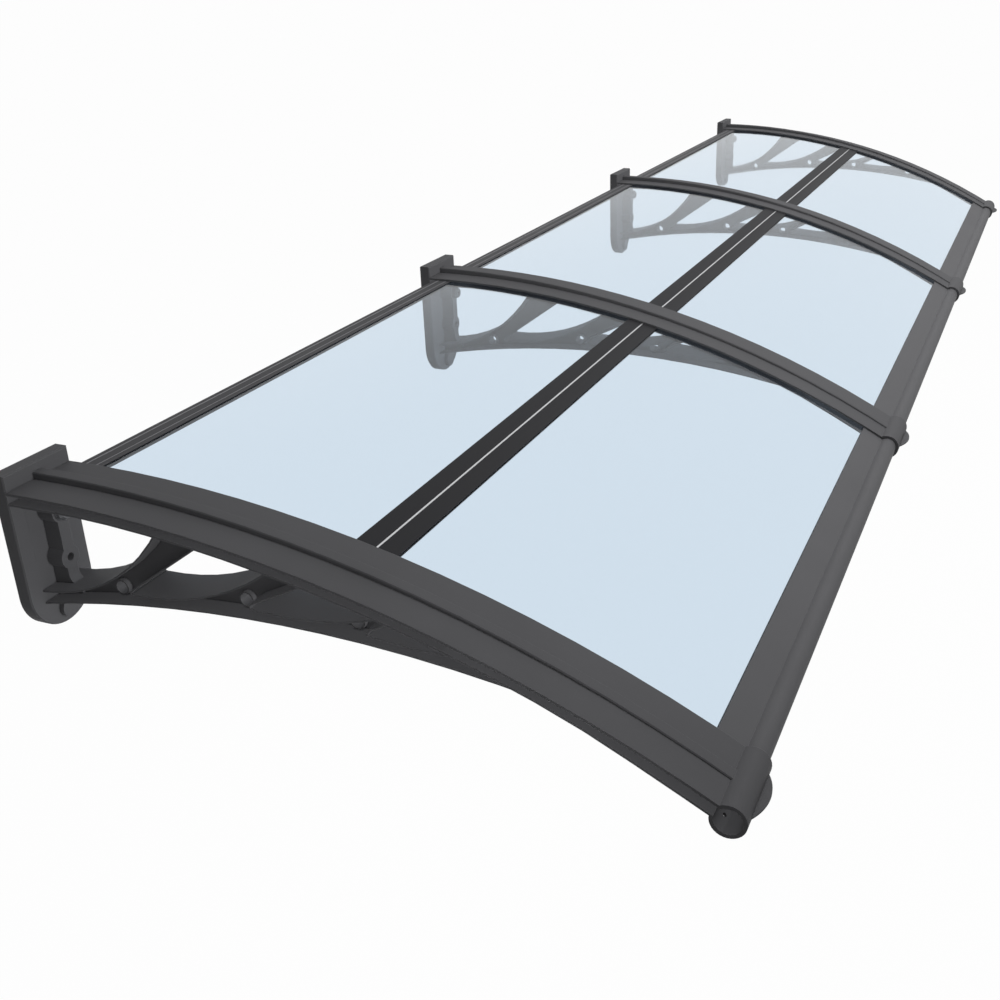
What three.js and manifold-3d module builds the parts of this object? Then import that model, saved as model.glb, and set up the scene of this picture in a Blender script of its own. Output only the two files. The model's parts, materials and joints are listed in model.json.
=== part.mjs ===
// Door canopy: moulded wall brackets that carry clear curved sheets between metal rails.
// Millimetres, +Z up. The wall is the plane Y = 0 and the canopy reaches out along -Y.
// X runs along the wall from the middle of the canopy. Z = 0 is the line of the wall bolts.
// A side outline is drawn as (reach, height), with reach counted from the front of the wall plates.
import * as THREE from "three";
import { mergeVertices } from "three/addons/utils/BufferGeometryUtils.js";
import Module from "manifold-3d";

const wasm = await Module();
wasm.setup();

// Layout along the wall
const BAY_COUNT = 3;
const BAY_PITCH = 968;
const BRACKET_WIDTH = 96;

// Clearances, and how deep joined shapes run into each other
const GAP = 0.3;
const SHEET_END_GAP = 4;
const EMBED = 1;

// Wall plate
const PLATE_THICKNESS = 18;
const PLATE_ABOVE_BOLTS = 56;
const PLATE_BELOW_BOLTS = 140.5;
const PLATE_EDGE = 1.5;

// Arm: a level crest near the wall, then an arc down to the front rail
const ARM_RADIUS = 1600;
const ARM_CREST = 18;
const ARM_TOP = 37.7;
const COVER_THICKNESS = 3;
const SHELF_THICKNESS = 2.4;
const SLOT_HEIGHT = 7.4;
const SLOT_REAR_FLARE = 2;
const SLOT_FRONT_FLARE = 3.7;
const SLOT_REAR_RUN = 60;
const SLOT_FRONT_RUN = 130;

// Ridge along the middle of the cover
const RIDGE_WIDTH = 15.6;
const RIDGE_REAR_HEIGHT = 8;
const RIDGE_FRONT_HEIGHT = 2.2;
const RIDGE_EDGE = 1.2;

// Lower chord and its branches
const CHORD_RADIUS = 1542;
const CHORD_CREST = 323;
const CHORD_TOP = -70.7;
const WEB_THICKNESS = 8;
const FLANGE_WIDTH = 58;
const FLANGE_THICKNESS = 2;
const OPENINGS = [
  { back: 0, heel: 0, heelRise: 17, heelRound: 0, bend: 110, bendRise: 5.6, tip: 178 },
  { back: 238, heel: 124, heelRise: 15, heelRound: 4, bend: 232, bendRise: 3.4, tip: 318 },
  { back: 366, heel: 271, heelRise: 13.6, heelRound: 14, bend: 395, bendRise: 10.4, tip: 445 },
  { back: 461, heel: 410, heelRise: 12.2, heelRound: 10, bend: 505, bendRise: 10.4, tip: 540 },
];
const WEB_HOLE_REACHES = [96, 260, 392, 550];
const WEB_HOLE_RADIUS = 7.5;
const WEB_HOLE_RISE = 11.5;
const WEB_BOSS_WALL = 1.6;
const WEB_BOSS_LENGTH = 20;

// Rib and bosses on the wall plate
const RIB_THICKNESS = 15.6;
const RIB_DEPTH = 21;
const RIB_FOOT = 15;
const RIB_FOOT_RISE = 12;
const RIB_FOOT_HEIGHT = 16;
const BOLT_BOSS_RADIUS = 13.5;
const SPARE_BOSS_DROP = 56;
const LOW_BOSS_DROP = 121.5;
const LOW_BOSS_RADIUS = 12.5;
const LOW_BOSS_DEPTH = 6.5;

// Wall bolt and washer
const BOLT_RADIUS = 4.7;
const BOLT_HEAD_RADIUS = 9.5;
const BOLT_HEAD_HEIGHT = 7;
const BOLT_TIP_INSET = 0.5;
const HEX_RADIUS = 4;
const HEX_DEPTH = 3.5;
const HEX_SIDES = 6;
const WASHER_RADIUS = 10.4;
const WASHER_THICKNESS = 1.6;

// Front rail and the sleeve around it
const RAIL_REACH = 787;
const RAIL_DROP = 10;
const TUBE_RADIUS = 14;
const TUBE_WALL = 2;
const SLEEVE_WALL = 4.1;
const FLANGE_RUN = 36;
const NOSE_RADIUS = 68;
const NOSE_REACH = 28;
const NOSE_THICKNESS = 2;

// Rear rail, joint bar and sheets
const REAR_RAIL_REACH = 9.5;
const REAR_RAIL_WIDTH = 29;
const BAR_REACH = 385;
const BAR_WIDTH = 48;
const BAR_WEB = 6;
const BAR_LINE_WIDTH = 2;
const GROOVE_DEPTH = 16;
const SCORE_DEPTH = 0.6;
const SCORE_WIDTH = 1;
const SCORE_INSET = 7.6;
const SHEET_THICKNESS = 4;

// Screws that hold the front rail in its sleeves
const SCREW_RADIUS = 2;
const SCREW_HEAD_RADIUS = 3.8;
const SCREW_HEAD_HEIGHT = 2.4;
const SCREW_TIP = 2;
const SCREW_INSET = 23;
const SCREW_ANGLE = THREE.MathUtils.degToRad(53);
const SPOT_DEPTH = 0.9;
const SPOT_MARGIN = 1;

// Fineness of the facets
const ARC_STEP = 50;
const BEND_STEPS = 9;
const HEEL_STEPS = 3;
const ROUND_STEPS = 32;
const SMALL_ROUND_STEPS = 14;
const HALVINGS = 40;
const WELD = 1e-4;

// Sizes that follow from the ones above
const SOCKET_RADIUS = TUBE_RADIUS + GAP;
const SLEEVE_RADIUS = SOCKET_RADIUS + SLEEVE_WALL;
const SLOT_DEPTH = (BRACKET_WIDTH - WEB_THICKNESS) / 2;
const SHEET_DROP = COVER_THICKNESS + SLOT_HEIGHT / 2;
const SHEET_TOP = SHEET_DROP - SHEET_THICKNESS / 2;
const SHEET_BOTTOM = SHEET_DROP + SHEET_THICKNESS / 2;
const FLANGE_REACH = RAIL_REACH - FLANGE_RUN;
const REAR_RAIL_FRONT = REAR_RAIL_REACH + REAR_RAIL_WIDTH;
const BAR_REAR = BAR_REACH - BAR_WIDTH / 2;
const BAR_FRONT = BAR_REACH + BAR_WIDTH / 2;
const BOLT_HOLE_RADIUS = BOLT_RADIUS + GAP;
const SCREW_HOLE_RADIUS = SCREW_RADIUS + GAP;
const SCREW_SEAT = SLEEVE_RADIUS - SPOT_DEPTH;
const HALF_LENGTH = (BAY_COUNT * BAY_PITCH) / 2;

const SIDE_TO_FRAME = new THREE.Matrix4()
  .makeBasis(new THREE.Vector3(0, -1, 0), new THREE.Vector3(0, 0, 1), new THREE.Vector3(-1, 0, 0))
  .setPosition(0, -PLATE_THICKNESS, 0);

// Points on the arm: drop is the distance below the arm's top surface
function armPoint(reach, drop) {
  const angle = Math.asin((reach - ARM_CREST) / ARM_RADIUS);
  const radius = ARM_RADIUS - drop;
  const across = ARM_CREST + radius * Math.sin(angle);
  return new THREE.Vector2(across, ARM_TOP - ARM_RADIUS + radius * Math.cos(angle));
}

// Reaches at which every curve along the arm has a corner, so that neighbouring pieces share facets
function armStations() {
  const ends = [-EMBED, 0, REAR_RAIL_REACH, REAR_RAIL_FRONT, BAR_REAR, BAR_FRONT, FLANGE_REACH, RAIL_REACH];
  return ends.slice(1).flatMap((end, i) => {
    const parts = Math.ceil((end - ends[i]) / ARC_STEP);
    return Array.from({ length: parts }, (_, k) => ends[i] + ((end - ends[i]) * k) / parts);
  });
}

function stations(from, to) {
  const low = Math.min(from, to);
  const high = Math.max(from, to);
  const inner = armStations().filter((reach) => reach > low && reach < high);
  const reaches = [low, ...inner, high];
  return from < to ? reaches : reaches.reverse();
}

function armLine(from, to, dropAt) {
  return stations(from, to).map((reach) => armPoint(reach, dropAt(reach)));
}

function level(drop) {
  return () => drop;
}

// A band that follows the arm between two drops
function armBand(from, to, upper, lower) {
  return [...armLine(from, to, level(upper)), ...armLine(to, from, level(lower))];
}

function slotFloor(reach) {
  const rearEnd = REAR_RAIL_FRONT + GAP;
  const frontEnd = FLANGE_REACH - GAP;
  const rear = 1 - THREE.MathUtils.smoothstep(reach, rearEnd, rearEnd + SLOT_REAR_RUN);
  const front = THREE.MathUtils.smoothstep(reach, frontEnd - SLOT_FRONT_RUN, frontEnd);
  return COVER_THICKNESS + SLOT_HEIGHT + rear * SLOT_REAR_FLARE + front * SLOT_FRONT_FLARE;
}

function shelfMiddle(reach) {
  return slotFloor(reach) + SHELF_THICKNESS / 2;
}

function shelfBottom(reach) {
  return slotFloor(reach) + SHELF_THICKNESS;
}

function chordHeight(reach) {
  const across = reach - CHORD_CREST;
  return CHORD_TOP - CHORD_RADIUS + Math.sqrt(CHORD_RADIUS ** 2 - across ** 2);
}

function chordPoint(reach, rise) {
  return new THREE.Vector2(reach, chordHeight(reach) + rise);
}

// The reach at which the lower chord runs into the shelf
function chordEnd() {
  let near = CHORD_CREST;
  let far = RAIL_REACH;
  for (let step = 0; step < HALVINGS; step += 1) {
    const middle = (near + far) / 2;
    const shelf = armPoint(middle, shelfMiddle(middle));
    if (shelf.y > chordHeight(shelf.x)) {
      near = middle;
    } else {
      far = middle;
    }
  }
  return near;
}

function railCentre() {
  const angle = Math.asin((RAIL_REACH - ARM_CREST) / (ARM_RADIUS - RAIL_DROP));
  return new THREE.Vector2(RAIL_REACH, ARM_TOP - ARM_RADIUS + (ARM_RADIUS - RAIL_DROP) * Math.cos(angle));
}

// An open line given a thickness on its right-hand side, with mitred corners
function ribbon(line, thickness) {
  const normals = line.slice(1).map((point, i) => {
    const along = point.clone().sub(line[i]).normalize();
    return new THREE.Vector2(along.y, -along.x);
  });
  const shifted = line.map((point, i) => {
    const before = normals[Math.max(i - 1, 0)];
    const after = normals[Math.min(i, normals.length - 1)];
    const mitre = before.clone().add(after);
    return point.clone().addScaledVector(mitre, thickness / (1 + before.dot(after)));
  });
  return [...line, ...shifted.reverse()];
}

function bend(start, control, end, steps = BEND_STEPS) {
  return new THREE.QuadraticBezierCurve(start, control, end).getPoints(steps);
}

function towards(from, to, distance) {
  return from.clone().add(to.clone().sub(from).setLength(distance));
}

// Geometry in the frame of the part
function slab(outline, width, centreX = 0, edge = 0) {
  const geometry = new THREE.ExtrudeGeometry(new THREE.Shape(outline), {
    depth: width - 2 * edge,
    bevelEnabled: edge > 0,
    bevelThickness: edge,
    bevelSize: edge,
    bevelOffset: -edge,
    bevelSegments: 1,
  });
  geometry.translate(0, 0, edge - width / 2);
  geometry.applyMatrix4(SIDE_TO_FRAME);
  return geometry.translate(centreX, 0, 0);
}

function rodAlongX(point, radius, length, centreX = 0, steps = SMALL_ROUND_STEPS) {
  const geometry = new THREE.CylinderGeometry(radius, radius, length, steps);
  geometry.rotateZ(Math.PI / 2);
  return geometry.translate(centreX, -PLATE_THICKNESS - point.x, point.y);
}

// A rod square to the wall, from one reach to another
function rodFromWall(from, to, height, radius) {
  const geometry = new THREE.CylinderGeometry(radius, radius, to - from, SMALL_ROUND_STEPS);
  return geometry.translate(0, -PLATE_THICKNESS - (from + to) / 2, height);
}

// A rod on a rail screw's axis, between two distances from the centre of the front rail
function rodOnScrew(from, to, radius, x) {
  const geometry = new THREE.CylinderGeometry(radius, radius, to - from, SMALL_ROUND_STEPS);
  return onScrewAxis(geometry.translate(0, (from + to) / 2, 0), x);
}

function onScrewAxis(geometry, x) {
  const centre = railCentre();
  geometry.rotateX(-SCREW_ANGLE);
  return geometry.translate(x, -PLATE_THICKNESS - centre.x, centre.y);
}

// Booleans
function solid(geometry) {
  const bare = geometry.clone();
  bare.deleteAttribute("normal");
  bare.deleteAttribute("uv");
  const merged = mergeVertices(bare, WELD);
  return new wasm.Manifold(
    new wasm.Mesh({
      numProp: 3,
      vertProperties: new Float32Array(merged.attributes.position.array),
      triVerts: new Uint32Array(merged.index.array),
    }),
  );
}

function join(geometries) {
  return geometries.map(solid).reduce((sum, item) => sum.add(item));
}

function cut(body, geometries) {
  return geometries.map(solid).reduce((rest, item) => rest.subtract(item), body);
}

function geometryOf(body) {
  const mesh = body.getMesh();
  const geometry = new THREE.BufferGeometry();
  geometry.setAttribute("position", new THREE.BufferAttribute(mesh.vertProperties, 3));
  geometry.setIndex(new THREE.BufferAttribute(mesh.triVerts, 1));
  geometry.computeVertexNormals();
  return geometry;
}

// Wall plate: square at the top, round at the bottom
function plateGeometry() {
  const half = BRACKET_WIDTH / 2;
  const shape = new THREE.Shape();
  shape.moveTo(half, PLATE_ABOVE_BOLTS);
  shape.lineTo(-half, PLATE_ABOVE_BOLTS);
  shape.lineTo(-half, half - PLATE_BELOW_BOLTS);
  shape.absarc(0, half - PLATE_BELOW_BOLTS, half, Math.PI, 2 * Math.PI, false);
  const geometry = new THREE.ExtrudeGeometry(shape, {
    depth: PLATE_THICKNESS - 2 * PLATE_EDGE,
    curveSegments: SMALL_ROUND_STEPS,
    bevelThickness: PLATE_EDGE,
    bevelSize: PLATE_EDGE,
    bevelOffset: -PLATE_EDGE,
    bevelSegments: 1,
  });
  geometry.rotateX(Math.PI / 2);
  return geometry.translate(0, -PLATE_EDGE, 0);
}

// Cover, shelf and sleeve before the slot is cut
function armGeometries() {
  const outline = [
    ...armLine(-EMBED, RAIL_REACH, level(0)),
    ...armLine(RAIL_REACH, -EMBED, shelfBottom),
  ];
  const ridgeTop = (reach) => {
    const share = THREE.MathUtils.clamp(reach / RAIL_REACH, 0, 1);
    return -THREE.MathUtils.lerp(RIDGE_REAR_HEIGHT, RIDGE_FRONT_HEIGHT, share);
  };
  const ridge = [
    ...armLine(-EMBED - RIDGE_EDGE, RAIL_REACH, ridgeTop),
    ...armLine(RAIL_REACH, -EMBED - RIDGE_EDGE, level(COVER_THICKNESS)),
  ];
  return [
    slab(outline, BRACKET_WIDTH),
    slab(ridge, RIDGE_WIDTH, 0, RIDGE_EDGE),
    rodAlongX(railCentre(), SLEEVE_RADIUS, BRACKET_WIDTH, 0, ROUND_STEPS),
  ];
}

// A shallow rounded nose in front of the sleeve, drawn in plan as (X, reach)
function noseGeometry() {
  const root = SOCKET_RADIUS + SLEEVE_WALL / 2;
  const centre = NOSE_REACH - NOSE_RADIUS;
  const half = Math.acos((root - centre) / NOSE_RADIUS);
  const shape = new THREE.Shape();
  shape.absarc(0, centre, NOSE_RADIUS, Math.PI / 2 - half, Math.PI / 2 + half, false);
  const geometry = new THREE.ExtrudeGeometry(shape, {
    depth: NOSE_THICKNESS,
    curveSegments: SMALL_ROUND_STEPS,
    bevelEnabled: false,
  });
  geometry.rotateX(Math.PI);
  return geometry.translate(0, -PLATE_THICKNESS - RAIL_REACH, railCentre().y);
}

// The line around one opening, from the shelf down to its heel and along the branch to the shelf
function openingLine(opening) {
  const back = armPoint(opening.back, shelfMiddle(opening.back));
  const heel = chordPoint(opening.heel, opening.heelRise);
  const control = chordPoint(opening.bend, opening.bendRise);
  const tip = armPoint(opening.tip, shelfMiddle(opening.tip));
  if (opening.heelRound === 0) {
    return [back, ...bend(heel, control, tip)];
  }
  const rise = towards(heel, back, opening.heelRound);
  const run = towards(heel, control, opening.heelRound);
  return [back, ...bend(rise, heel, run, HEEL_STEPS), ...bend(run, control, tip).slice(1)];
}

function openingGeometry(opening) {
  const top = armLine(opening.tip, opening.back, shelfMiddle).slice(1, -1);
  return slab([...openingLine(opening), ...top], FLANGE_WIDTH);
}

// Lower chord, branches and the rib on the wall plate
function treeSolid() {
  const end = chordEnd();
  const chord = stations(-EMBED, end).map((reach) => chordPoint(reach, 0));
  const shelf = armLine(end, -EMBED, shelfMiddle).slice(1);
  const web = cut(solid(slab([...chord, ...shelf], WEB_THICKNESS)), OPENINGS.map(openingGeometry));
  const flanges = OPENINGS.map((opening) => {
    return slab(ribbon(openingLine(opening), FLANGE_THICKNESS), FLANGE_WIDTH);
  });
  const bottom = slab(ribbon([...chord].reverse(), FLANGE_THICKNESS), FLANGE_WIDTH);
  const bosses = webHoles(WEB_HOLE_RADIUS + WEB_BOSS_WALL, WEB_BOSS_LENGTH);
  return web.add(join([...flanges, bottom, ribGeometry(), ...bosses]));
}

function webHoles(radius, length) {
  return WEB_HOLE_REACHES.map((reach) => rodAlongX(chordPoint(reach, WEB_HOLE_RISE), radius, length));
}

function ribGeometry() {
  const foot = chordPoint(RIB_DEPTH + RIB_FOOT, RIB_FOOT_RISE);
  const corner = chordPoint(RIB_DEPTH, RIB_FOOT_RISE);
  const front = new THREE.Vector2(RIB_DEPTH, corner.y + RIB_FOOT_HEIGHT);
  const outline = [
    armPoint(-EMBED, shelfMiddle(0)),
    armPoint(RIB_DEPTH, shelfMiddle(RIB_DEPTH)),
    ...bend(front, corner, foot),
    chordPoint(foot.x, EMBED),
    chordPoint(-EMBED, EMBED),
  ];
  return slab(outline, RIB_THICKNESS);
}

function plateBosses() {
  return [
    rodFromWall(-EMBED, RIB_DEPTH, 0, BOLT_BOSS_RADIUS),
    rodFromWall(-EMBED, RIB_DEPTH, -SPARE_BOSS_DROP, BOLT_BOSS_RADIUS),
    rodFromWall(-EMBED, LOW_BOSS_DEPTH, -LOW_BOSS_DROP, LOW_BOSS_RADIUS),
  ];
}

// Slots, sockets and screw seats on one side of the bracket
function sideCuts(side) {
  const middle = (side * (WEB_THICKNESS + SLOT_DEPTH + EMBED)) / 2;
  const width = SLOT_DEPTH + EMBED;
  const screwX = side * (BRACKET_WIDTH / 2 - SCREW_INSET);
  const slot = [
    ...armLine(0, RAIL_REACH, level(COVER_THICKNESS)),
    ...armLine(RAIL_REACH, 0, slotFloor),
  ];
  return [
    slab(slot, width, middle),
    rodAlongX(railCentre(), SOCKET_RADIUS, width, middle, ROUND_STEPS),
    rodOnScrew(TUBE_RADIUS - TUBE_WALL, SLEEVE_RADIUS + EMBED, SCREW_HOLE_RADIUS, screwX),
    rodOnScrew(SCREW_SEAT, SLEEVE_RADIUS + EMBED, SCREW_HEAD_RADIUS + SPOT_MARGIN, screwX),
  ];
}

function bracketGeometry() {
  const shell = join([plateGeometry(), ...armGeometries(), noseGeometry(), ...plateBosses()]);
  const moulded = shell.add(treeSolid());
  const through = -PLATE_THICKNESS - EMBED;
  return geometryOf(
    cut(moulded, [
      ...sideCuts(-1),
      ...sideCuts(1),
      ...webHoles(WEB_HOLE_RADIUS, FLANGE_WIDTH + EMBED),
      rodFromWall(through, RIB_DEPTH + EMBED, 0, BOLT_HOLE_RADIUS),
      rodFromWall(through, RIB_DEPTH + EMBED, -SPARE_BOSS_DROP, BOLT_HOLE_RADIUS),
    ]),
  );
}

// Rails, bars and sheets run between the middle webs of two neighbouring brackets
function railLength() {
  return BAY_PITCH - WEB_THICKNESS - 2 * GAP;
}

function sheetLength() {
  return BAY_PITCH - WEB_THICKNESS - 2 * SHEET_END_GAP;
}

// The outline of a rail's top with fine lines scored across it, from front to rear
function scoredTop(from, to, drop, lines) {
  const points = [armPoint(from, drop)];
  for (const line of lines) {
    points.push(armPoint(line + SCORE_WIDTH / 2, drop));
    points.push(armPoint(line, drop + SCORE_DEPTH));
    points.push(armPoint(line - SCORE_WIDTH / 2, drop));
  }
  points.push(armPoint(to, drop));
  return points;
}

function grooveOutline(from, to) {
  return armBand(from, to, SHEET_TOP - GAP, SHEET_BOTTOM + GAP);
}

function rearRailGeometry() {
  const top = COVER_THICKNESS + GAP;
  const bottom = slotFloor(0) - GAP;
  const lines = [REAR_RAIL_FRONT - SCORE_INSET, REAR_RAIL_REACH + SCORE_INSET];
  const outline = [
    ...scoredTop(REAR_RAIL_FRONT, REAR_RAIL_REACH, top, lines),
    ...armLine(REAR_RAIL_REACH, REAR_RAIL_FRONT, level(bottom)),
  ];
  const groove = grooveOutline(REAR_RAIL_FRONT - GROOVE_DEPTH, REAR_RAIL_FRONT + EMBED);
  return geometryOf(cut(solid(slab(outline, railLength())), [slab(groove, railLength() + EMBED)]));
}

function jointBarGeometry() {
  const top = COVER_THICKNESS + GAP;
  const bottom = COVER_THICKNESS + SLOT_HEIGHT - GAP;
  const lines = [BAR_REACH + BAR_LINE_WIDTH / 2, BAR_REACH - BAR_LINE_WIDTH / 2];
  const outline = [
    ...scoredTop(BAR_FRONT, BAR_REAR, top, lines),
    ...armLine(BAR_REAR, BAR_FRONT, level(bottom)),
  ];
  const grooves = [
    grooveOutline(BAR_REAR - EMBED, BAR_REACH - BAR_WEB / 2),
    grooveOutline(BAR_REACH + BAR_WEB / 2, BAR_FRONT + EMBED),
  ];
  const cuts = grooves.map((groove) => slab(groove, railLength() + EMBED));
  return geometryOf(cut(solid(slab(outline, railLength())), cuts));
}

function frontRailGeometry() {
  const length = railLength();
  const centre = railCentre();
  const top = COVER_THICKNESS + GAP;
  const flange = armBand(FLANGE_REACH, RAIL_REACH, top, slotFloor(FLANGE_REACH) - GAP);
  const groove = grooveOutline(FLANGE_REACH - EMBED, FLANGE_REACH + GROOVE_DEPTH);
  const body = join([rodAlongX(centre, TUBE_RADIUS, length, 0, ROUND_STEPS), slab(flange, length)]);
  const pilots = railScrewPlaces().map((x) =>
    rodOnScrew(TUBE_RADIUS - TUBE_WALL - EMBED, TUBE_RADIUS + EMBED, SCREW_HOLE_RADIUS, x),
  );
  return geometryOf(
    cut(body, [
      rodAlongX(centre, TUBE_RADIUS - TUBE_WALL, length + EMBED, 0, ROUND_STEPS),
      slab(groove, length + EMBED),
      ...pilots,
    ]),
  );
}

// Screws sit at both ends of each front rail, counted from the middle of the bay
function railScrewPlaces() {
  const place = BAY_PITCH / 2 - BRACKET_WIDTH / 2 + SCREW_INSET;
  return [-place, place];
}

function sheetGeometry(from, to) {
  return slab(armBand(from, to, SHEET_TOP, SHEET_BOTTOM), sheetLength());
}

// A turned piece: (radius, distance) points about the Y axis
function turned(points, steps) {
  const profile = points.map(([radius, along]) => new THREE.Vector2(radius, along));
  return new THREE.LatheGeometry(profile, steps);
}

function railScrewGeometry() {
  const seat = SCREW_SEAT + GAP;
  const crown = seat + SCREW_HEAD_HEIGHT;
  const screw = turned(
    [
      [0, TUBE_RADIUS - TUBE_WALL - SCREW_TIP],
      [SCREW_RADIUS, TUBE_RADIUS - TUBE_WALL - SCREW_TIP / 2],
      [SCREW_RADIUS, seat],
      [SCREW_HEAD_RADIUS, seat],
      [SCREW_HEAD_RADIUS, (seat + crown) / 2],
      [SCREW_HEAD_RADIUS - SCREW_RADIUS / 2, crown],
      [0, crown],
    ],
    SMALL_ROUND_STEPS,
  );
  return onScrewAxis(screw, 0);
}

// Bolt and washer are turned about Y, with the head towards -Y
function wallBoltGeometry() {
  const tip = -BOLT_TIP_INSET;
  const seat = -PLATE_THICKNESS - RIB_DEPTH - WASHER_THICKNESS - 2 * GAP;
  const crown = seat - BOLT_HEAD_HEIGHT;
  const bolt = turned(
    [
      [0, crown],
      [BOLT_HEAD_RADIUS - BOLT_RADIUS / 2, crown],
      [BOLT_HEAD_RADIUS, (crown + seat) / 2],
      [BOLT_HEAD_RADIUS, seat],
      [BOLT_RADIUS, seat],
      [BOLT_RADIUS, tip],
      [0, tip],
    ],
    SMALL_ROUND_STEPS,
  );
  const socket = new THREE.CylinderGeometry(HEX_RADIUS, HEX_RADIUS, 2 * HEX_DEPTH, HEX_SIDES);
  return geometryOf(cut(solid(bolt), [socket.translate(0, crown, 0)]));
}

function washerGeometry() {
  const rear = -PLATE_THICKNESS - RIB_DEPTH - GAP;
  const front = rear - WASHER_THICKNESS;
  return turned(
    [
      [BOLT_HOLE_RADIUS, front],
      [WASHER_RADIUS, front],
      [WASHER_RADIUS, rear],
      [BOLT_HOLE_RADIUS, rear],
      [BOLT_HOLE_RADIUS, front],
    ],
    SMALL_ROUND_STEPS,
  );
}

// Finishes
function finish(color, roughness, metalness, opacity = 1) {
  return new THREE.MeshStandardMaterial({ color, roughness, metalness, opacity, transparent: opacity < 1 });
}

const canopy = new THREE.Group();

function place(name, geometry, material, x) {
  const mesh = new THREE.Mesh(geometry, material);
  mesh.name = name;
  mesh.position.x = x;
  canopy.add(mesh);
}

const mouldedPlastic = () => finish("#4a4b4c", 0.55, 0);
const coatedMetal = () => finish("#55575a", 0.45, 0.3);
const blackMetal = () => finish("#2b2c2d", 0.4, 0.3);
const clearSheet = () => finish("#dbe7ea", 0.08, 0, 0.3);
const darkSteel = () => finish("#3c3d3f", 0.4, 0.7);

for (let i = 0; i <= BAY_COUNT; i += 1) {
  const x = i * BAY_PITCH - HALF_LENGTH;
  place(`bracket_${i + 1}`, bracketGeometry(), mouldedPlastic(), x);
  place(`wall_bolt_${i + 1}`, wallBoltGeometry(), darkSteel(), x);
  place(`bolt_washer_${i + 1}`, washerGeometry(), darkSteel(), x);
}

for (let bay = 0; bay < BAY_COUNT; bay += 1) {
  const x = (bay + 0.5) * BAY_PITCH - HALF_LENGTH;
  const number = bay + 1;
  const rearEdge = REAR_RAIL_FRONT - GROOVE_DEPTH + GAP;
  const frontEdge = FLANGE_REACH + GROOVE_DEPTH - GAP;
  const barHalf = BAR_WEB / 2 + GAP;
  place(`rear_rail_${number}`, rearRailGeometry(), coatedMetal(), x);
  place(`joint_bar_${number}`, jointBarGeometry(), blackMetal(), x);
  place(`front_rail_${number}`, frontRailGeometry(), coatedMetal(), x);
  place(`rear_sheet_${number}`, sheetGeometry(rearEdge, BAR_REACH - barHalf), clearSheet(), x);
  place(`front_sheet_${number}`, sheetGeometry(BAR_REACH + barHalf, frontEdge), clearSheet(), x);
  railScrewPlaces().forEach((offset, end) => {
    place(`rail_screw_${number}_${end + 1}`, railScrewGeometry(), darkSteel(), x + offset);
  });
}

export default canopy;
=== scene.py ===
"""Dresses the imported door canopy.

Every solid gets a finish, rails and bars get their drawn beads, and a studio and a camera stand
around it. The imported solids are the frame. Lengths are metres, X runs along the wall, Y points
into the wall and Z is up.
"""

from __future__ import annotations

import json
import logging
import math
from abc import ABC, abstractmethod
from dataclasses import dataclass
from enum import Enum
from typing import Any

import bpy
import numpy as np
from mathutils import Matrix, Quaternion, Vector

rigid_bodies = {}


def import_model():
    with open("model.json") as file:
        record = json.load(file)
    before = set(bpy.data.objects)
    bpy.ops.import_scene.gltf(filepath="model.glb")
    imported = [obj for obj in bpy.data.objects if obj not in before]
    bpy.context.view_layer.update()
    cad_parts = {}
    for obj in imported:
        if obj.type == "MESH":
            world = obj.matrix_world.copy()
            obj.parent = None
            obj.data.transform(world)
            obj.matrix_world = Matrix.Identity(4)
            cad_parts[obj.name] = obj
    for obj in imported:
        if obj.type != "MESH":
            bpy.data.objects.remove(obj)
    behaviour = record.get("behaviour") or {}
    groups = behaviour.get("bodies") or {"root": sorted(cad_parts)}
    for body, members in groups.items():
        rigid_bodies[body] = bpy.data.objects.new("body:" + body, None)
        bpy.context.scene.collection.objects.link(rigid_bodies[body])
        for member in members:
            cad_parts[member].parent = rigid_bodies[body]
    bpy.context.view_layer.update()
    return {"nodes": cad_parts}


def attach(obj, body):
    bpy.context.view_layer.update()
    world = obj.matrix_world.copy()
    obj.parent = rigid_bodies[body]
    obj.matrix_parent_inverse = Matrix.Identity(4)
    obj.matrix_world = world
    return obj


LOG = logging.getLogger("canopy")
MM = 0.001
BODY = "root"
WHITE = "#ffffff"

# The sRGB curve: straight up to the knee, then a power of the offset value.
SRGB_KNEE = 0.04045
SRGB_SLOPE = 12.92
SRGB_OFFSET = 0.055
SRGB_POWER = 2.4

# Noise nodes: how many finer octaves each adds, and between which values it mostly lies.
GRAIN_DETAIL = 2.0
CLOUD_DETAIL = 3.0
WAVE_DETAIL = 1.0
NOISE_LOW = 0.3
NOISE_HIGH = 0.7

# Pale edges, part wear and part painted highlight: cosine of the turn at which the paling
# starts, that at which it is full, and the rays that look for an edge.
WEAR_AND_SHEEN_START = 0.995
WEAR_AND_SHEEN_FULL = 0.90
EDGE_SAMPLES = 4

# Creases: openness at which the shade is full, that at which it ends, the share of the tone left
# in full shade, and the rays that look for a crease.
CREASE_SHUT = 0.3
CREASE_OPEN = 0.8
CREASE_TONE = 0.4
CREASE_SAMPLES = 6


class Slot(Enum):
    """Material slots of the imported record."""

    BRACKET = "bracket_plastic"
    RAIL = "rail_metal"
    BAR = "bar_metal"
    FASTENER = "fastener_steel"
    SHEET = "clear_sheet"


class Bay(Enum):
    """The three bays, counted along X, with their place in bay pitches from the middle."""

    LEFT = -1
    MIDDLE = 0
    RIGHT = 1


def linear(colour: str) -> tuple[float, float, float, float]:
    """Turns an sRGB hex colour into linear RGBA.

    Args:
        colour: Six hex digits after a hash sign.

    Returns:
        Red, green, blue and an alpha of 1.
    """
    srgb = np.array([int(colour[i:i + 2], 16) for i in (1, 3, 5)]) / 255.0
    curved = ((srgb + SRGB_OFFSET) / (1 + SRGB_OFFSET)) ** SRGB_POWER
    rgb = np.where(srgb <= SRGB_KNEE, srgb / SRGB_SLOPE, curved)
    return (*(float(c) for c in rgb), 1.0)


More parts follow.
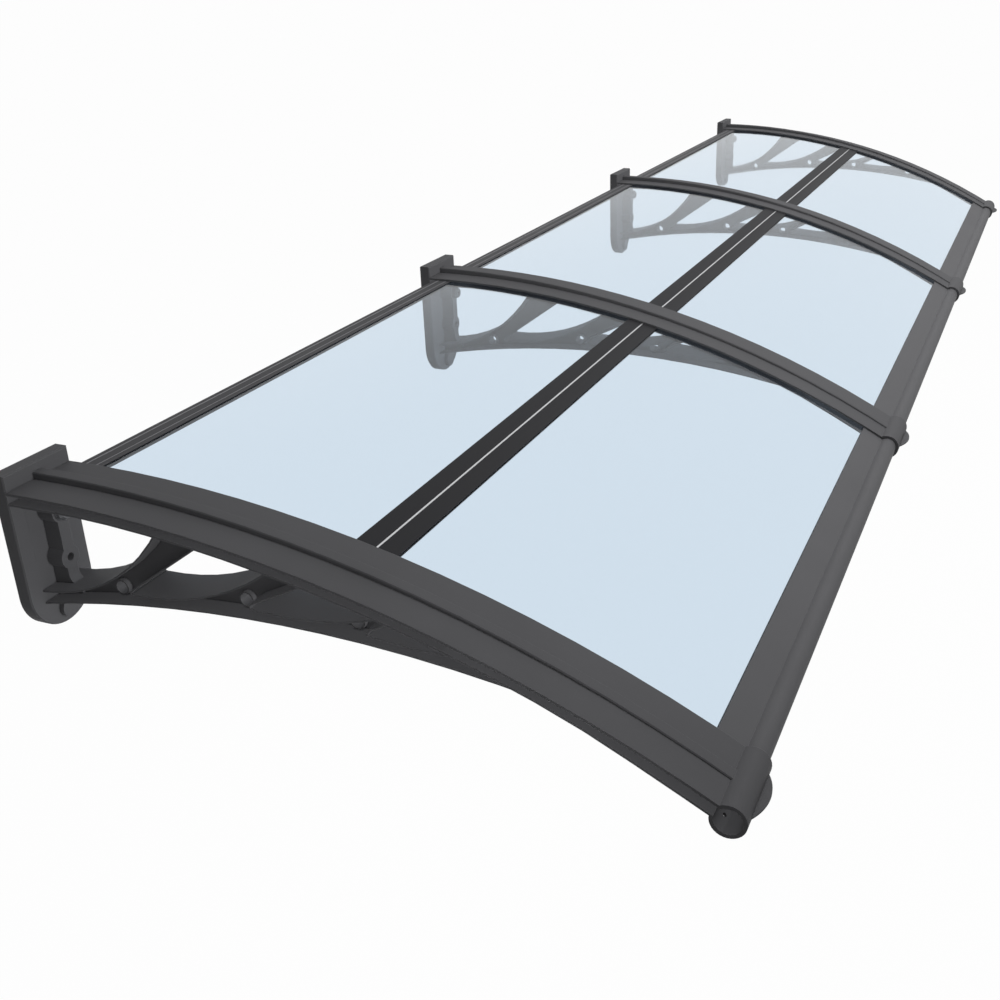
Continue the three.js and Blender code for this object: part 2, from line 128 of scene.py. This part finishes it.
def add_node(tree: bpy.types.NodeTree, kind: str, settings: dict[str, Any] | None = None,
             **inputs: Any) -> bpy.types.Node:
    """Adds a node, sets its properties and fills its inputs.

    Args:
        tree: The node tree that gets the node.
        kind: Blender's name of the node type.
        settings: Properties of the node by name.
        **inputs: Socket values or sockets to link, by socket name with underscores for blanks,
            or by socket number as i0, i1 and so on.

    Returns:
        The new node.
    """
    node = tree.nodes.new(kind)
    for name, value in (settings or {}).items():
        setattr(node, name, value)
    for name, value in inputs.items():
        by_number = name[0] == "i" and name[1:].isdigit()
        socket = node.inputs[int(name[1:]) if by_number else name.replace("_", " ")]
        if isinstance(value, bpy.types.NodeSocket):
            tree.links.new(value, socket)
        else:
            socket.default_value = value
    return node


def any_of(tree: bpy.types.NodeTree, first: bpy.types.NodeSocket,
           *others: bpy.types.NodeSocket) -> bpy.types.NodeSocket:
    """Joins flags of 0 or 1.

    Args:
        tree: The node tree that holds them.
        first: One flag.
        *others: The flags to join to it.

    Returns:
        A socket that is 1 where any of them is.
    """
    joined = first
    for flag in others:
        joined = add_node(tree, "ShaderNodeMath", {"operation": "MAXIMUM"},
                          i0=joined, i1=flag).outputs["Value"]
    return joined


def seen(tree: bpy.types.NodeTree) -> bpy.types.NodeSocket:
    """Tells rays that show a surface, also in gloss or through a sheet, from rays that light it.

    Args:
        tree: The node tree that asks.

    Returns:
        A socket that is 1 for camera, glossy and transmission rays and 0 for the rest.
    """
    ray = add_node(tree, "ShaderNodeLightPath").outputs
    return any_of(tree, ray["Is Camera Ray"], ray["Is Transmission Ray"], ray["Is Glossy Ray"])


def new_material(name: str) -> bpy.types.Material:
    """Makes a material with an empty node tree."""
    material = bpy.data.materials.new(name)
    material.use_nodes = True
    material.node_tree.nodes.clear()
    return material


def show(material: bpy.types.Material, shader: bpy.types.NodeSocket) -> bpy.types.Material:
    """Puts a shader on the material's surface output and returns the material."""
    add_node(material.node_tree, "ShaderNodeOutputMaterial", Surface=shader)
    return material


def add_object(name: str, data: bpy.types.ID) -> bpy.types.Object:
    """Puts an object with this data in the scene and returns it."""
    thing = bpy.data.objects.new(name, data)
    bpy.context.scene.collection.objects.link(thing)
    return thing


def add_surface(name: str, places: np.ndarray, faces: np.ndarray,
                material: bpy.types.Material) -> bpy.types.Object:
    """Puts a mesh in the scene.

    Args:
        name: Name of the mesh and its object.
        places: One row (x, y, z) for each corner.
        faces: One row of corner numbers for each quad.
        material: The finish.

    Returns:
        The new object.
    """
    mesh = bpy.data.meshes.new(name)
    mesh.from_pydata(places.tolist(), [], faces.tolist())
    mesh.materials.append(material)
    mesh.update()
    return add_object(name, mesh)


@dataclass(frozen=True)
class CoatedFinish:
    """A coat or moulded skin: fine grain, drifting tone, painted shade in creases, and edges paled
    by wear and a painted highlight.

    Attributes:
        name: Material name.
        colour: Main tone.
        edge_wear_and_sheen: Tone of the pale edges, which is wear and painted highlight.
        roughness: Mean roughness.
        grain: Size of one grain, metres.
        relief: Height of the grain, metres.
        specular: Specular level of the skin.
        metallic: Metal share of the base.
        stretch: Stretch of grain and clouds along X, for drawn sections.
        drift: Size of one cloud of the tone drift, metres.
        drift_share: How far the drift moves the tone, as a share.
        edge: Width of the rubbed edge, metres.
        edge_wear_and_sheen_share: How far an edge goes to the pale edge tone.
        crease: Reach of the shade in creases, metres.
        rough_spread: How far the drift moves the roughness.
    """

    name: str
    colour: str
    edge_wear_and_sheen: str
    roughness: float
    grain: float
    relief: float
    specular: float = 0.04
    metallic: float = 0.0
    stretch: float = 1.0
    drift: float = 0.12
    drift_share: float = 0.06
    edge: float = 0.8 * MM
    edge_wear_and_sheen_share: float = 0.25
    crease: float = 3 * MM
    rough_spread: float = 0.05

    def material(self) -> bpy.types.Material:
        """Builds the node material and returns it."""
        material = new_material(self.name)
        tree = material.node_tree
        place = add_node(tree, "ShaderNodeTexCoord").outputs["Object"]
        along = add_node(tree, "ShaderNodeMapping", Vector=place,
                         Scale=(1 / self.stretch, 1, 1)).outputs["Vector"]
        grain = add_node(tree, "ShaderNodeTexNoise", Vector=along, Scale=1 / self.grain,
                         Detail=GRAIN_DETAIL)
        cloud = add_node(tree, "ShaderNodeTexNoise", Vector=along, Scale=1 / self.drift,
                         Detail=CLOUD_DETAIL)
        tone = add_node(tree, "ShaderNodeMapRange", Value=cloud.outputs["Fac"],
                        From_Min=NOISE_LOW, From_Max=NOISE_HIGH,
                        To_Min=1 - self.drift_share, To_Max=1 + self.drift_share)
        drifting = add_node(tree, "ShaderNodeVectorMath", {"operation": "SCALE"},
                            i0=linear(self.colour)[:3], Scale=tone.outputs["Result"])
        rounded = add_node(tree, "ShaderNodeBevel", {"samples": EDGE_SAMPLES}, Radius=self.edge)
        flat = add_node(tree, "ShaderNodeNewGeometry")
        turn = add_node(tree, "ShaderNodeVectorMath", {"operation": "DOT_PRODUCT"},
                        i0=rounded.outputs["Normal"], i1=flat.outputs["Normal"])
        # Pale edges, part wear and part painted highlight: where the rounded normal turns from the
        # flat one, the tone goes towards the edge tone.
        edge_wear_and_sheen_share = add_node(tree, "ShaderNodeMapRange", Value=turn.outputs["Value"],
                          From_Min=WEAR_AND_SHEEN_START, From_Max=WEAR_AND_SHEEN_FULL, To_Min=0.0, To_Max=self.edge_wear_and_sheen_share)
        edge_wear_and_sheen = add_node(tree, "ShaderNodeMix", {"data_type": "RGBA"},
                        Factor=edge_wear_and_sheen_share.outputs["Result"],
                        i6=drifting.outputs["Vector"], i7=linear(self.edge_wear_and_sheen))
        # Painted shade: the tone is darkened in creases, where the occlusion finds little open
        # space.
        hollow = add_node(tree, "ShaderNodeAmbientOcclusion", {"samples": CREASE_SAMPLES},
                          Distance=self.crease)
        shade = add_node(tree, "ShaderNodeMapRange", Value=hollow.outputs["AO"],
                         From_Min=CREASE_SHUT, From_Max=CREASE_OPEN, To_Min=CREASE_TONE, To_Max=1.0)
        base = add_node(tree, "ShaderNodeVectorMath", {"operation": "SCALE"},
                        i0=edge_wear_and_sheen.outputs["Result"], Scale=shade.outputs["Result"])
        rough = add_node(tree, "ShaderNodeMapRange", Value=cloud.outputs["Fac"],
                         From_Min=NOISE_LOW, From_Max=NOISE_HIGH,
                         To_Min=self.roughness - self.rough_spread,
                         To_Max=self.roughness + self.rough_spread)
        bump = add_node(tree, "ShaderNodeBump", Height=grain.outputs["Fac"], Strength=1.0,
                        Distance=self.relief, Normal=rounded.outputs["Normal"])
        skin = add_node(tree, "ShaderNodeBsdfPrincipled", Base_Color=base.outputs["Vector"],
                        Roughness=rough.outputs["Result"], Metallic=self.metallic,
                        Specular_IOR_Level=self.specular, Normal=bump.outputs["Normal"])
        return show(material, skin.outputs["BSDF"])


@dataclass(frozen=True)
class ClearFinish:
    """Clear sheet: smooth, faintly blue, and open to lamps so that what lies under it stays lit.

    Attributes:
        name: Material name.
        tint: What the sheet shows of what lies behind it.
        clear: What one face lets through to light what lies under it.
        roughness: Roughness of the faces.
        ior: Index of refraction.
        wave: Length of the slow waves of the drawn sheet, metres.
        wave_height: Height of those waves, metres.
        wave_stretch: Stretch of the waves along X.
    """

    name: str
    tint: str
    clear: str
    roughness: float
    ior: float
    wave: float
    wave_height: float
    wave_stretch: float = 4.0

    def material(self) -> bpy.types.Material:
        """Builds the node material and returns it."""
        material = new_material(self.name)
        tree = material.node_tree
        place = add_node(tree, "ShaderNodeTexCoord").outputs["Object"]
        along = add_node(tree, "ShaderNodeMapping", Vector=place,
                         Scale=(1 / self.wave_stretch, 1, 1))
        waves = add_node(tree, "ShaderNodeTexNoise", Vector=along.outputs["Vector"],
                         Scale=1 / self.wave, Detail=WAVE_DETAIL)
        bump = add_node(tree, "ShaderNodeBump", Height=waves.outputs["Fac"], Strength=1.0,
                        Distance=self.wave_height)
        body = add_node(tree, "ShaderNodeBsdfPrincipled", Base_Color=linear(self.tint),
                        Roughness=self.roughness, IOR=self.ior, Transmission_Weight=1.0,
                        Normal=bump.outputs["Normal"])
        pass_through = add_node(tree, "ShaderNodeBsdfTransparent", Color=linear(self.clear))
        ray = add_node(tree, "ShaderNodeLightPath").outputs
        sheet = add_node(tree, "ShaderNodeMixShader",
                         Fac=any_of(tree, ray["Is Shadow Ray"], ray["Is Diffuse Ray"]),
                         i1=body.outputs["BSDF"], i2=pass_through.outputs["BSDF"])
        return show(material, sheet.outputs["Shader"])


# Glass-filled nylon, moulded in a spark-eroded tool: a dull, even anthracite with a fine pebble.
# The real pebble is about 0.3 mm and is drawn at 1.6 mm to show.
BRACKET_SKIN = CoatedFinish(
    "moulded_nylon_anthracite", colour="#4f4f51", edge_wear_and_sheen="#8a8a8d", roughness=0.6,
    grain=1.6 * MM, relief=0.04 * MM, specular=0.06)
# Drawn aluminium under powder coat: a little smoother than the brackets, with orange peel about
# 2 mm wide.
FRONT_COAT = CoatedFinish(
    "powder_coated_front_tube", colour="#555557", edge_wear_and_sheen="#8c8c8f", roughness=0.5,
    grain=2.0 * MM, relief=0.025 * MM)
# The same coat drawn darker on the rear rails: painted shade.
REAR_SHADED_COAT = CoatedFinish(
    "powder_coated_rear_channel", colour="#474749", edge_wear_and_sheen="#7c7c7f", roughness=0.55,
    grain=2.0 * MM, relief=0.025 * MM)
# Painted highlight on each drawn bead of the rear rails: the same coat as a paler hairline.
BEAD_HIGHLIGHT_COAT = CoatedFinish(
    "painted_highlight_bead_coat", colour="#7d7d80", edge_wear_and_sheen="#a4a4a7", roughness=0.42,
    grain=1.0 * MM, relief=0.01 * MM, stretch=40)
# Drawn aluminium, dyed black by anodising: near black, silky, with die lines 1.2 mm apart along
# the bar.
BAR_COAT = CoatedFinish(
    "black_anodised_aluminium", colour="#262628", edge_wear_and_sheen="#5d5d60", roughness=0.5,
    grain=1.2 * MM, relief=0.02 * MM, specular=0.05, stretch=60)
# Bare drawn aluminium of the bar's middle line: pale and bright.
BRIGHT_LINE = CoatedFinish(
    "bright_drawn_aluminium", colour="#c9cacc", edge_wear_and_sheen="#e4e5e6", roughness=0.3,
    grain=1.0 * MM, relief=0.01 * MM, metallic=0.9, stretch=60)
# Zinc-plated steel under a dark chromate: dull grey metal.
PLATED_STEEL = CoatedFinish(
    "dark_chromate_steel", colour="#5e5f62", edge_wear_and_sheen="#9a9b9d", roughness=0.4,
    grain=0.8 * MM, relief=0.02 * MM, metallic=0.6)
# Solid polycarbonate, drawn between rolls: clear with a cool cast and long shallow waves. Its
# index is 1.585. It is drawn at 1.2, because the white surround mirrored at 1.585 would hide the
# brackets that the eye sees behind it.
SHEET_CLEAR = ClearFinish(
    "clear_polycarbonate", tint="#d0dfec", clear="#e6eff7", roughness=0.02, ior=1.2,
    wave=0.25, wave_height=0.15 * MM)


@dataclass(frozen=True)
class SmoothShade:
    """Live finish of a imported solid: triangles are joined and round stretches shaded smooth.

    Attributes:
        weld: Distance within which corners are one, metres.
        crease_deg: Edges that turn more than this stay sharp.
    """

    weld: float = 0.01 * MM
    crease_deg: float = 32.0

    def group(self) -> bpy.types.NodeTree:
        """Builds the geometry node group that joins and shades, and returns it."""
        group = bpy.data.node_groups.new("smooth_shade", "GeometryNodeTree")
        for way in ("INPUT", "OUTPUT"):
            group.interface.new_socket("Geometry", in_out=way, socket_type="NodeSocketGeometry")
        start = add_node(group, "NodeGroupInput")
        joined = add_node(group, "GeometryNodeMergeByDistance", Geometry=start.outputs["Geometry"],
                          Distance=self.weld)
        smooth = add_node(group, "GeometryNodeSetShadeSmooth", {"domain": "FACE"},
                          Geometry=joined.outputs["Geometry"], Shade_Smooth=True)
        angle = add_node(group, "GeometryNodeInputMeshEdgeAngle")
        steep = add_node(group, "FunctionNodeCompare", {"operation": "GREATER_THAN"},
                         A=angle.outputs["Unsigned Angle"], B=math.radians(self.crease_deg))
        creased = add_node(group, "GeometryNodeSetShadeSmooth", {"domain": "EDGE"},
                           Geometry=smooth.outputs["Geometry"], Selection=steep.outputs["Result"],
                           Shade_Smooth=False)
        add_node(group, "NodeGroupOutput", Geometry=creased.outputs["Geometry"])
        return group


@dataclass(frozen=True)
class ArmCurve:
    """The arc that the bracket arms follow, which rails, bars and sheets lie along.

    Attributes:
        radius: Radius of the arm's top.
        crest: Distance of its highest point from the wall plate's front.
        top: Height of that point.
        plate: Thickness of the wall plate.
        bay_pitch: Distance between two brackets.
        rail_length: Length of a rail or bar between two bracket webs.
    """

    radius: float = 1600 * MM
    crest: float = 18 * MM
    top: float = 37.7 * MM
    plate: float = 18 * MM
    bay_pitch: float = 968 * MM
    rail_length: float = 959.4 * MM

    def places(self, reach: np.ndarray, drop: np.ndarray) -> np.ndarray:
        """Finds points by their distance from the wall plate and their depth under the arm's top.

        The angle on the arc is the arcsine of (reach - crest) / radius. The point stands at that
        angle on the circle whose radius is shorter by the drop.

        Args:
            reach: Distances along the top, from the wall plate's front.
            drop: Depths below the top.

        Returns:
            One row (y, z) for each point.
        """
        angle = np.arcsin((reach - self.crest) / self.radius)
        radius = self.radius - drop
        y = -self.plate - self.crest - radius * np.sin(angle)
        z = self.top - self.radius + radius * np.cos(angle)
        return np.stack([y, z], axis=-1)

    def run(self, bay: Bay) -> np.ndarray:
        """Gives the X values of both ends of a rail in a bay."""
        half = self.rail_length / 2
        return bay.value * self.bay_pitch + np.array([-half, half])


@dataclass(frozen=True)
class Bead:
    """A slim crowned line that is drawn along the top of a rail or bar.

    Attributes:
        reach: Distance of its middle from the wall plate's front.
        width: Its width.
        height: Height of its crown over the rail.
        rail_drop: Depth of the rail's top under the arm's top.
        root: How deep it sits in the rail.
        steps: Corners across it.
    """

    reach: float
    width: float
    height: float
    rail_drop: float = 3.3 * MM
    root: float = 0.2 * MM
    steps: int = 9

    def surface(self, arm: ArmCurve, ends: np.ndarray) -> tuple[np.ndarray, np.ndarray]:
        """Carries the bead's section along X.

        The crown is a parabola: at t from 1 to -1 across the bead it stands height times
        (1 - t squared) over the rail. The underside lies at the root's depth. Corner (i, j) of the
        grid is section corner j at end i.

        Args:
            arm: The arc that the rail lies along.
            ends: X values of the two ends, rising.

        Returns:
            Corner places and quad faces. The end faces are quads between crown and underside.
        """
        across = np.linspace(1.0, -1.0, self.steps)
        reach = self.reach + across * self.width / 2
        crown = arm.places(reach, self.rail_drop - self.height * (1 - across ** 2))
        under = arm.places(reach[::-1], np.full(self.steps, self.rail_drop + self.root))
        section = np.concatenate([crown, under])
        count = len(section)
        x, corner = np.meshgrid(ends, np.arange(count), indexing="ij")
        places = np.stack([x, section[corner, 0], section[corner, 1]], axis=-1).reshape(-1, 3)
        here = np.arange(count)
        beside = (here + 1) % count
        sides = np.stack([here, beside, beside + count, here + count], axis=-1)
        low = np.arange(self.steps - 1)
        start = np.stack([low, count - 1 - low, count - 2 - low, low + 1], axis=-1)
        return places, np.concatenate([sides[:, ::-1], start[:, ::-1], start + count])


@dataclass
class Assembly(ABC):
    """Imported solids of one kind, with what they need to be dressed.

    Attributes:
        nodes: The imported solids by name.
        shade: Node group that shades them smooth.
        arm: The arc that the bracket arms follow.
    """

    nodes: dict[str, bpy.types.Object]
    shade: bpy.types.NodeTree
    arm: ArmCurve

    @abstractmethod
    def build(self) -> None:
        """Dresses the solids and lays what is drawn on them."""

    def dress(self, stem: str, material: bpy.types.Material, slot: Slot) -> None:
        """Dresses every solid whose name starts with a stem.

        Args:
            stem: Start of the names, up to the number.
            material: The finish.
            slot: Not used.
        """
        for name in sorted(n for n in self.nodes if n.startswith(stem + "_")):
            solid = self.nodes[name]
            solid.data.materials.clear()
            solid.data.materials.append(material)
            modifier = solid.modifiers.new("smooth_shade", "NODES")
            modifier.node_group = self.shade
            LOG.info("dressed %s in %s", name, material.name)

    def lay_bead(self, name: str, bead: Bead, bay: Bay, material: bpy.types.Material,
                 slot: Slot) -> None:
        """Lays a bead along a rail or bar, as a piece that rides with the canopy.

        Args:
            name: Piece name.
            bead: The bead's sizes.
            bay: The bay it lies in.
            material: The finish.
            slot: Not used.
        """
        places, faces = bead.surface(self.arm, self.arm.run(bay))
        piece = add_surface(name, places, faces, material)
        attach(piece, BODY)
        LOG.info("laid %s with %d faces", name, len(faces))


@dataclass
class Brackets(Assembly):
    """The four moulded wall brackets.

    Attributes:
        skin: Their finish.
    """

    skin: CoatedFinish = BRACKET_SKIN

    def build(self) -> None:
        """Dresses the brackets."""
        self.dress("bracket", self.skin.material(), Slot.BRACKET)


@dataclass
class Rails(Assembly):
    """Front and rear rails, with a painted highlight on the two beads drawn along each rear rail.

    Attributes:
        front_coat: Finish of the front rails.
        rear_shaded_coat: Finish of the rear rails, the same coat darkened as painted shade.
        bead_highlight_coat: Finish of the beads, a paler tone that is painted highlight.
        beads: The beads of a rear rail, from the wall outwards.
    """

    front_coat: CoatedFinish = FRONT_COAT
    rear_shaded_coat: CoatedFinish = REAR_SHADED_COAT
    bead_highlight_coat: CoatedFinish = BEAD_HIGHLIGHT_COAT
    beads: tuple[Bead, ...] = (
        Bead(reach=17.1 * MM, width=2.0 * MM, height=0.24 * MM),
        Bead(reach=30.9 * MM, width=1.4 * MM, height=0.16 * MM),
    )

    def build(self) -> None:
        """Dresses the rails and lays the beads."""
        self.dress("front_rail", self.front_coat.material(), Slot.RAIL)
        # The rear rails' darker coat is painted shade.
        self.dress("rear_rail", self.rear_shaded_coat.material(), Slot.RAIL)
        # The beads' paler tone is a painted highlight.
        pale = self.bead_highlight_coat.material()
        for bay in Bay:
            for number, bead in enumerate(self.beads, 1):
                self.lay_bead(f"rear_bead_{bay.name.lower()}_{number}", bead, bay, pale, Slot.RAIL)


@dataclass
class JointBars(Assembly):
    """The black bars between two sheets, with the bright line along the middle of each.

    Attributes:
        coat: Finish of the bars.
        bright: Finish of the line.
        line: The line's sizes.
    """

    coat: CoatedFinish = BAR_COAT
    bright: CoatedFinish = BRIGHT_LINE
    line: Bead = Bead(reach=385 * MM, width=2.2 * MM, height=0.25 * MM)

    def build(self) -> None:
        """Dresses the bars and lays the bright lines."""
        self.dress("joint_bar", self.coat.material(), Slot.BAR)
        bright = self.bright.material()
        for bay in Bay:
            self.lay_bead(f"bright_line_{bay.name.lower()}", self.line, bay, bright, Slot.BAR)


@dataclass
class Fixings(Assembly):
    """Wall bolts, their washers and the screws of the front rails.

    Attributes:
        steel: Their finish.
    """

    steel: CoatedFinish = PLATED_STEEL

    def build(self) -> None:
        """Dresses bolts, washers and screws."""
        steel = self.steel.material()
        for stem in ("wall_bolt", "bolt_washer", "rail_screw"):
            self.dress(stem, steel, Slot.FASTENER)


@dataclass
class Glazing(Assembly):
    """The clear sheets on both sides of the joint bars.

    Attributes:
        clear: Their finish.
    """

    clear: ClearFinish = SHEET_CLEAR

    def build(self) -> None:
        """Dresses the sheets."""
        clear = self.clear.material()
        self.dress("rear_sheet", clear, Slot.SHEET)
        self.dress("front_sheet", clear, Slot.SHEET)


@dataclass(frozen=True)
class Camera:
    """The photo's camera, as fitted to the canopy's straight and round edges.

    Attributes:
        place: Where it stands.
        azimuth_deg: Turn about the vertical, 0 looks along +Y.
        elevation_deg: How far it looks down.
        roll_deg: Turn about its own axis.
        focal_mm: Focal length on the sensor below.
        sensor_mm: Sensor width.
        shift: Shift of the frame, as a share of its width.
    """

    place: tuple[float, float, float] = (-2.3647, -1.0010, 0.5427)
    azimuth_deg: float = -67.46
    elevation_deg: float = 25.74
    roll_deg: float = -1.25
    focal_mm: float = 43.77
    sensor_mm: float = 36.0
    shift: tuple[float, float] = (-0.055, 0.0343)

    def build(self) -> None:
        """Makes the camera and gives it to the scene."""
        data = bpy.data.cameras.new("camera")
        data.lens = self.focal_mm
        data.sensor_width = self.sensor_mm
        data.shift_x, data.shift_y = self.shift
        camera = add_object("camera", data)
        turn, drop = math.radians(self.azimuth_deg), math.radians(self.elevation_deg)
        ahead = math.cos(drop)
        look = Vector((-math.sin(turn) * ahead, math.cos(turn) * ahead, -math.sin(drop)))
        level = look.to_track_quat("-Z", "Y")
        camera.rotation_mode = "QUATERNION"
        camera.rotation_quaternion = level @ Quaternion((0, 0, 1), math.radians(self.roll_deg))
        camera.location = self.place
        bpy.context.scene.camera = camera


@dataclass(frozen=True)
class Lamp:
    """A soft box.

    Attributes:
        name: Lamp name.
        place: Where it hangs.
        aim: What it points at.
        size: Width and height.
        power: Watts.
        shadow: False lets its light into slots and sockets, as the photo shows them.
    """

    name: str
    place: tuple[float, float, float]
    aim: tuple[float, float, float]
    size: tuple[float, float]
    power: float
    shadow: bool = True

    def build(self) -> None:
        """Hangs the lamp in the scene."""
        data = bpy.data.lights.new(self.name, "AREA")
        data.shape = "RECTANGLE"
        data.size, data.size_y = self.size
        data.energy = self.power
        data.use_shadow = self.shadow
        lamp = add_object(self.name, data)
        lamp.location = self.place
        lamp.rotation_mode = "QUATERNION"
        way = Vector(self.aim) - Vector(self.place)
        lamp.rotation_quaternion = way.to_track_quat("-Z", "Y")
        lamp.visible_camera = False
        lamp.visible_transmission = False
        lamp.visible_glossy = False


@dataclass(frozen=True)
class Studio:
    """Pale floor, white surround and soft boxes.

    Attributes:
        floor_z: Height of the floor.
        floor_half: Half its width.
        floor_cells: Quads along each of its sides.
        floor_colour: Its tone.
        floor_glow: Share of the floor's white that needs no light.
        surround: Strength of the surround as a light.
        lamps: The soft boxes.
    """

    floor_z: float = -0.95
    floor_half: float = 40.0
    floor_cells: int = 2
    floor_colour: str = "#b4b4b4"
    floor_glow: float = 0.98
    surround: float = 0.2
    lamps: tuple[Lamp, ...] = (
        Lamp("key", place=(0.3, -1.2, 1.25), aim=(0.3, -0.65, -0.1), size=(4.2, 0.5), power=46,
             shadow=False),
        Lamp("fill", place=(0.0, -0.72, -0.34), aim=(0.0, 0.0, -0.06), size=(4.4, 0.1), power=11,
             shadow=False),
        Lamp("side", place=(-2.7, -0.72, -0.2), aim=(-1.45, -0.35, -0.08), size=(0.7, 0.5),
             power=1.5),
        Lamp("rim", place=(3.0, 0.9, 1.6), aim=(0.3, -0.6, -0.1), size=(1.6, 1.6), power=22),
    )

    def floor_material(self) -> bpy.types.Material:
        """Pale floor that glows towards the camera, takes shadow, and is open from below."""
        material = new_material("studio_floor")
        tree = material.node_tree
        share = add_node(tree, "ShaderNodeMath", {"operation": "MULTIPLY"},
                         i0=seen(tree), i1=self.floor_glow)
        matt = add_node(tree, "ShaderNodeBsdfDiffuse", Color=linear(self.floor_colour))
        glow = add_node(tree, "ShaderNodeEmission", Color=linear(WHITE), Strength=1.0)
        top = add_node(tree, "ShaderNodeMixShader", Fac=share.outputs["Value"],
                       i1=matt.outputs["BSDF"], i2=glow.outputs["Emission"])
        under = add_node(tree, "ShaderNodeBsdfTransparent")
        side = add_node(tree, "ShaderNodeNewGeometry")
        floor = add_node(tree, "ShaderNodeMixShader", Fac=side.outputs["Backfacing"],
                         i1=top.outputs["Shader"], i2=under.outputs["BSDF"])
        return show(material, floor.outputs["Shader"])

    def build_floor(self) -> None:
        """Lays the floor: a level square grid about the origin, corners counted along Y first."""
        line = np.linspace(-self.floor_half, self.floor_half, self.floor_cells + 1)
        x, y = np.meshgrid(line, line, indexing="ij")
        places = np.stack([x, y, np.full_like(x, self.floor_z)], axis=-1).reshape(-1, 3)
        cell = np.arange(self.floor_cells)
        first = (cell[:, None] * len(line) + cell).ravel()
        beside = first + len(line)
        faces = np.stack([first, beside, beside + 1, first + 1], axis=-1)
        floor = add_surface("floor", places, faces, self.floor_material())

    def build_surround(self) -> None:
        """White surround for rays that show a surface, and a weaker even light for the rest."""
        world = bpy.data.worlds.new("surround")
        world.use_nodes = True
        tree = world.node_tree
        tree.nodes.clear()
        strength = add_node(tree, "ShaderNodeMapRange", Value=seen(tree),
                            To_Min=self.surround, To_Max=1.0)
        back = add_node(tree, "ShaderNodeBackground", Color=linear(WHITE),
                        Strength=strength.outputs["Result"])
        add_node(tree, "ShaderNodeOutputWorld", Surface=back.outputs["Background"])
        bpy.context.scene.world = world

    def build(self) -> None:
        """Builds floor, surround and lamps."""
        self.build_floor()
        self.build_surround()
        for lamp in self.lamps:
            lamp.build()


def main() -> None:
    """Loads the frame, dresses it, and sets up studio and camera."""
    logging.basicConfig(level=logging.INFO, format="%(name)s: %(message)s")
    bpy.context.scene.view_settings.view_transform = "Standard"
    for leftover in list(bpy.data.objects):
        bpy.data.objects.remove(leftover)
    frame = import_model()
    Camera().build()
    shade = SmoothShade().group()
    arm = ArmCurve()
    for assembly in (Brackets, Rails, JointBars, Fixings, Glazing):
        assembly(frame["nodes"], shade, arm).build()
    Studio().build()


if __name__ == "__main__":
    main()
